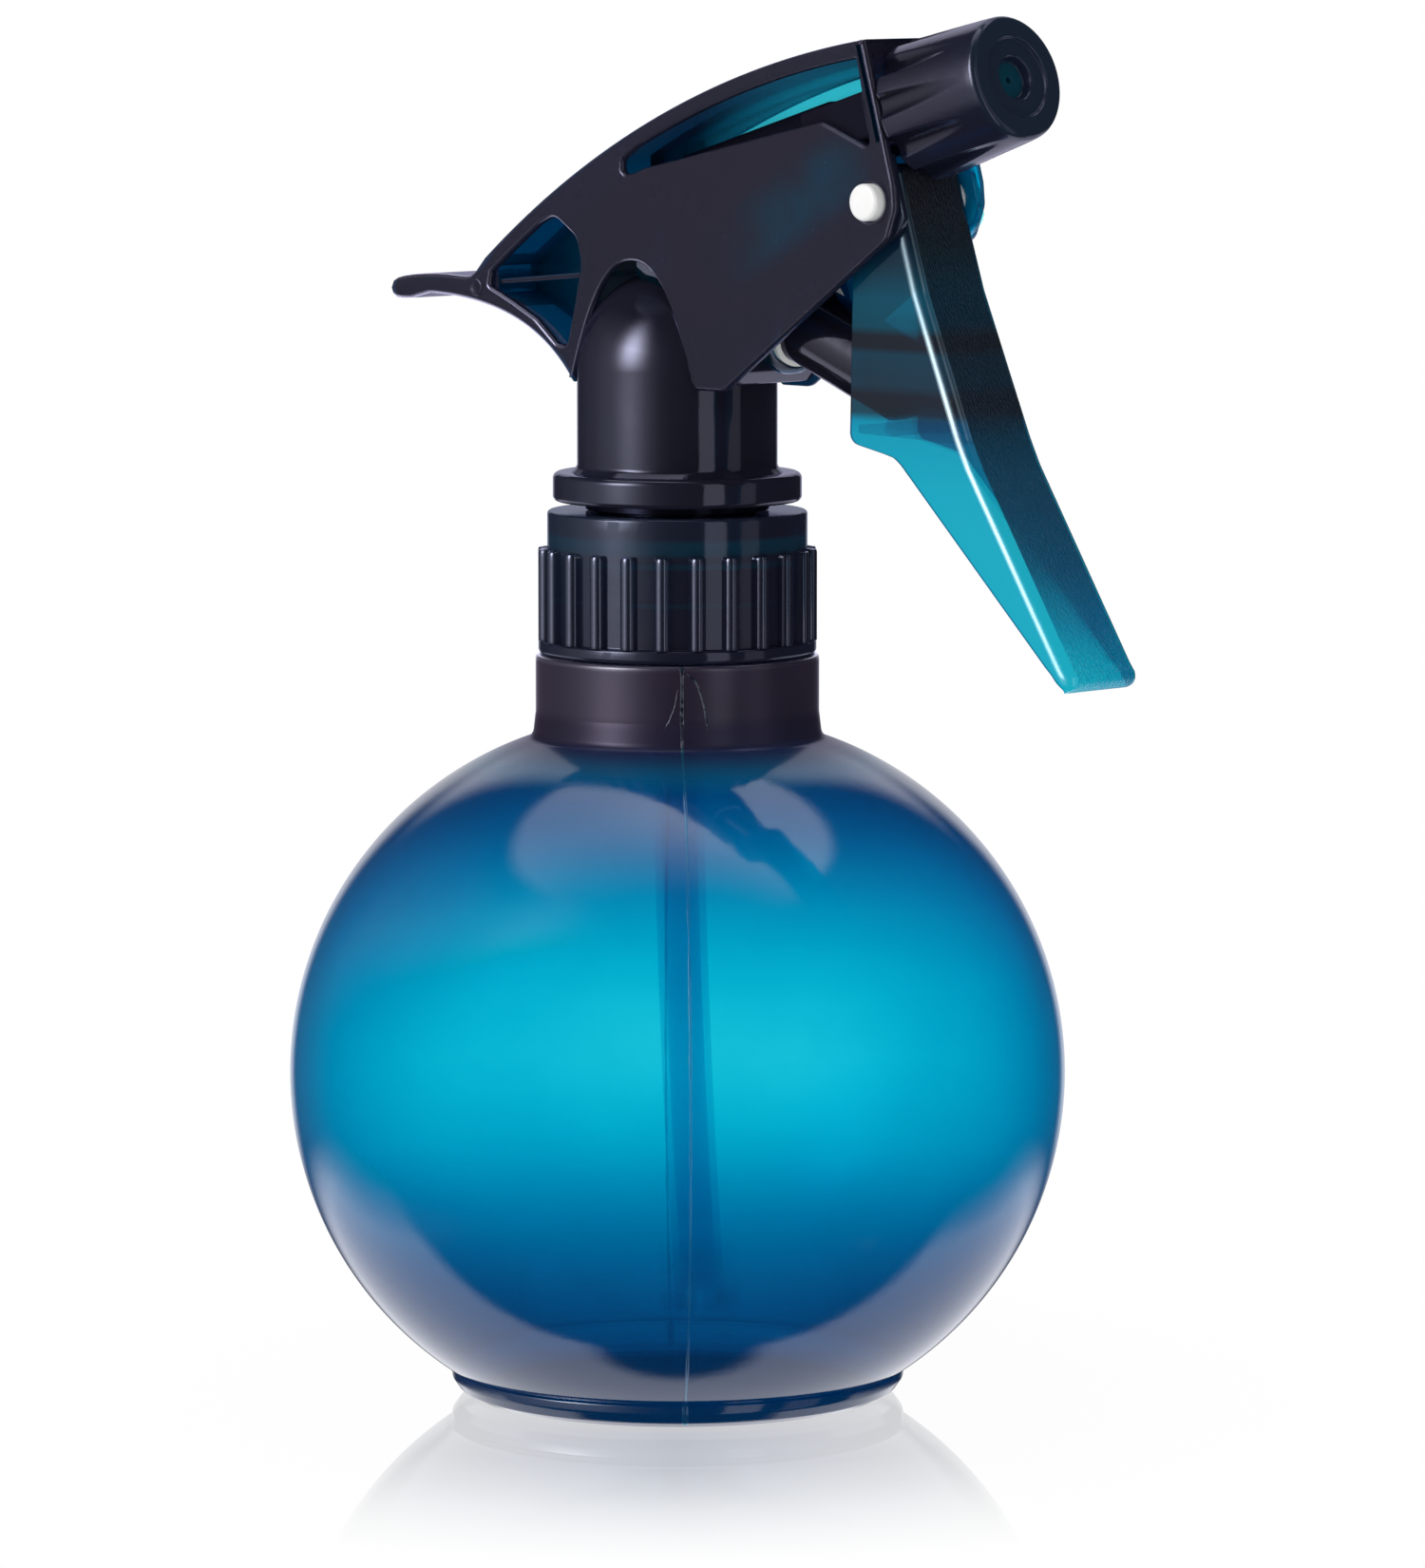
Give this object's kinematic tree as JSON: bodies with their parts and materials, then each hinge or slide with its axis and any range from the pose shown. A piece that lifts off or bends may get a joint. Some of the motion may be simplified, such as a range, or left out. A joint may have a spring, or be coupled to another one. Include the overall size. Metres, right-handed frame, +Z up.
{
  "type": "trigger spray bottle",
  "caption": "Round refillable spray bottle with a screw-on trigger pump head, adjustable nozzle cap and internal dip tube, for misting and cleaning.",
  "frame": {"origin": "centre of the bottle's foot, on the surface it stands on", "axes": "+Z up along the bottle's axis, +X the way the nozzle points, Y across the head"},
  "size_m": [0.1174, 0.095, 0.169],
  "materials": {
    "bottle_plastic": "translucent teal-blue blown plastic, glossy",
    "head_plastic": "translucent teal-blue moulded plastic, thick enough to look navy, glossy",
    "trigger_plastic": "translucent teal moulded plastic, glossy with a finely grained front",
    "pin_plastic": "white acetal, satin",
    "natural_plastic": "uncoloured translucent polyethylene",
    "tube_plastic": "extruded translucent tube, satin",
    "seal": "soft white elastomer",
    "o_ring": "black rubber",
    "steel": "stainless steel, bright"
  },
  "bodies": {
    "bottle": {"bottle": "bottle_plastic"},
    "head": {"pump_body": "head_plastic", "shroud": "head_plastic", "pivot_pin": "pin_plastic", "tube_retainer": "natural_plastic", "neck_gasket": "seal", "dip_tube": "tube_plastic", "strainer": "tube_plastic", "vent_wiper": "seal", "piston_spring": "steel", "discharge_seat": "natural_plastic", "discharge_spring": "steel", "swirl_insert": "natural_plastic", "nozzle_seal": "o_ring"},
    "collar": {"collar": "head_plastic"},
    "trigger": {"trigger": "trigger_plastic"},
    "piston": {"piston": "head_plastic", "piston_cup": "seal"},
    "nozzle": {"nozzle_cap": "head_plastic"},
    "inlet_ball": {"inlet_ball": "steel"},
    "discharge_ball": {"discharge_ball": "steel"}
  },
  "joints": [
    {"name": "head_lift", "type": "slide", "parent": "bottle", "child": "head", "axis": [0, 0, 1], "range_m": [0, 0.00635]},
    {"name": "collar_turn", "type": "hinge", "parent": "head", "child": "collar", "pos_m": [0, 0, 0.1], "axis": [0, 0, 1], "range_deg": [0, 540]},
    {"name": "trigger_pull", "type": "hinge", "parent": "head", "child": "trigger", "pos_m": [0.0396, 0, 0.1473], "axis": [0, 1, 0], "range_deg": [0, 23], "stiffness_Nm_per_rad": 0.15, "springref_deg": -5.73},
    {"name": "piston_stroke", "type": "slide", "parent": "head", "child": "piston", "axis": [-0.9272, 0, 0.3746], "range_m": [0, 0.0085], "deforming": ["piston_spring"]},
    {"name": "nozzle_turn", "type": "hinge", "parent": "head", "child": "nozzle", "pos_m": [0.0557, 0, 0.1621], "axis": [0.9598, 0, 0.2807], "range_deg": [-90, 90]},
    {"name": "inlet_lift", "type": "slide", "parent": "head", "child": "inlet_ball", "axis": [0, 0, 1], "range_m": [0, 0.0012]},
    {"name": "outlet_lift", "type": "slide", "parent": "head", "child": "discharge_ball", "axis": [0.9598, 0, 0.2807], "range_m": [0, 0.001], "deforming": ["discharge_spring"]}
  ],
  "couplings": [
    {"joint": "collar_turn", "follows": "head_lift", "rad_per_m": 1484.3},
    {"joint": "piston_stroke", "follows": "trigger_pull", "m_per_rad": 0.0207}
  ]
}
